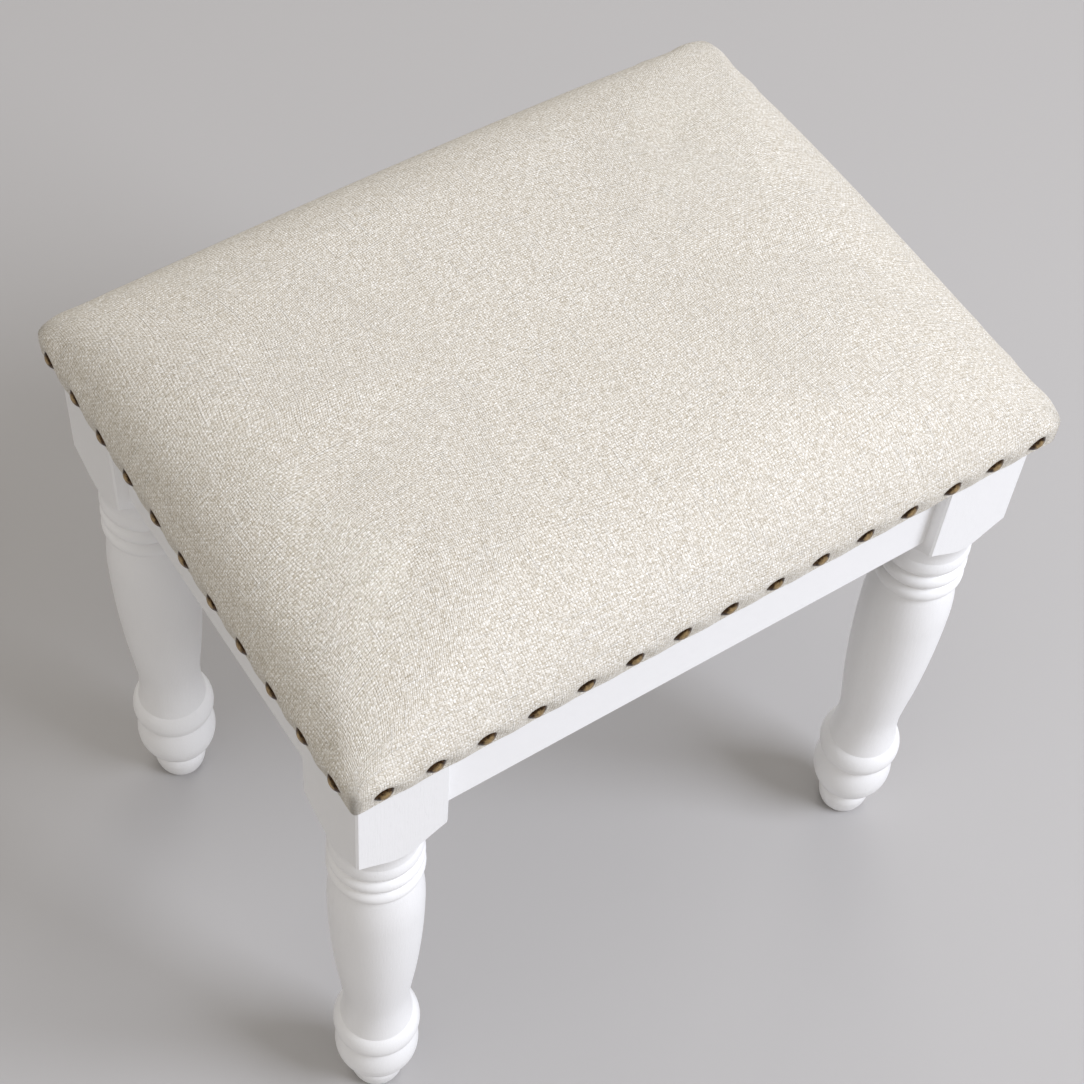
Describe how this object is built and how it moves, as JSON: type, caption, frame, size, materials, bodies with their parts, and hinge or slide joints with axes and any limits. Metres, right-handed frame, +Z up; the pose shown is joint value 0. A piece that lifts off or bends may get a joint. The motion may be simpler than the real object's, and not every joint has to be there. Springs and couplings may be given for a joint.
{
  "type": "vanity stool",
  "caption": "Backless rectangular stool with a domed upholstered seat edged with nails, on turned legs joined by plain aprons.",
  "frame": {"origin": "on the floor, under the middle of the seat; it is the centre of the bounding box's bottom", "axes": "+Z up, along the height; +X along the seat's long side, to the right in the picture; +Y along its short side, away from the camera"},
  "size_m": [0.4572, 0.3472, 0.4994],
  "materials": {
    "painted_wood": "satin white paint on turned and planed wood",
    "raw_wood": "bare beech, hidden in the joints",
    "plywood": "bare plywood, hidden in the seat",
    "zinc_steel": "bright zinc plating",
    "bronzed_nails": "antique bronze, dark with golden highlights",
    "staple_wire": "galvanised wire",
    "dust_cloth": "matt black non-woven cloth",
    "seat_foam": "open-cell foam, hidden in the seat",
    "wadding_fibre": "soft polyester wadding, hidden in the seat",
    "linen_cloth": "cream linen-look plain weave with fine slubs",
    "glide_plastic": "off-white moulded plastic"
  },
  "bodies": {
    "root": {"leg_front_left": "painted_wood", "foot_glide_front_left": "glide_plastic", "corner_plate_front_left": "zinc_steel", "leg_front_right": "painted_wood", "foot_glide_front_right": "glide_plastic", "corner_plate_front_right": "zinc_steel", "leg_back_left": "painted_wood", "foot_glide_back_left": "glide_plastic", "corner_plate_back_left": "zinc_steel", "leg_back_right": "painted_wood", "foot_glide_back_right": "glide_plastic", "corner_plate_back_right": "zinc_steel", "apron_back": "painted_wood", "seat_bracket_back": "zinc_steel", "nails_back": "bronzed_nails", "apron_front": "painted_wood", "seat_bracket_front": "zinc_steel", "nails_front": "bronzed_nails", "apron_left": "painted_wood", "seat_bracket_left": "zinc_steel", "nails_left": "bronzed_nails", "apron_right": "painted_wood", "seat_bracket_right": "zinc_steel", "nails_right": "bronzed_nails", "apron_dowels": "raw_wood", "hanger_bolts": "zinc_steel", "bolt_washers": "zinc_steel", "bolt_nuts": "zinc_steel", "corner_plate_screws": "zinc_steel", "bracket_apron_screws": "zinc_steel", "bracket_seat_screws": "zinc_steel", "glide_nails": "zinc_steel", "cover_staples": "staple_wire", "dust_cover_staples": "staple_wire", "dust_cover": "dust_cloth", "seat_board": "plywood", "foam_pad": "seat_foam", "wadding": "wadding_fibre", "seat_cover": "linen_cloth"}
  },
  "joints": []
}
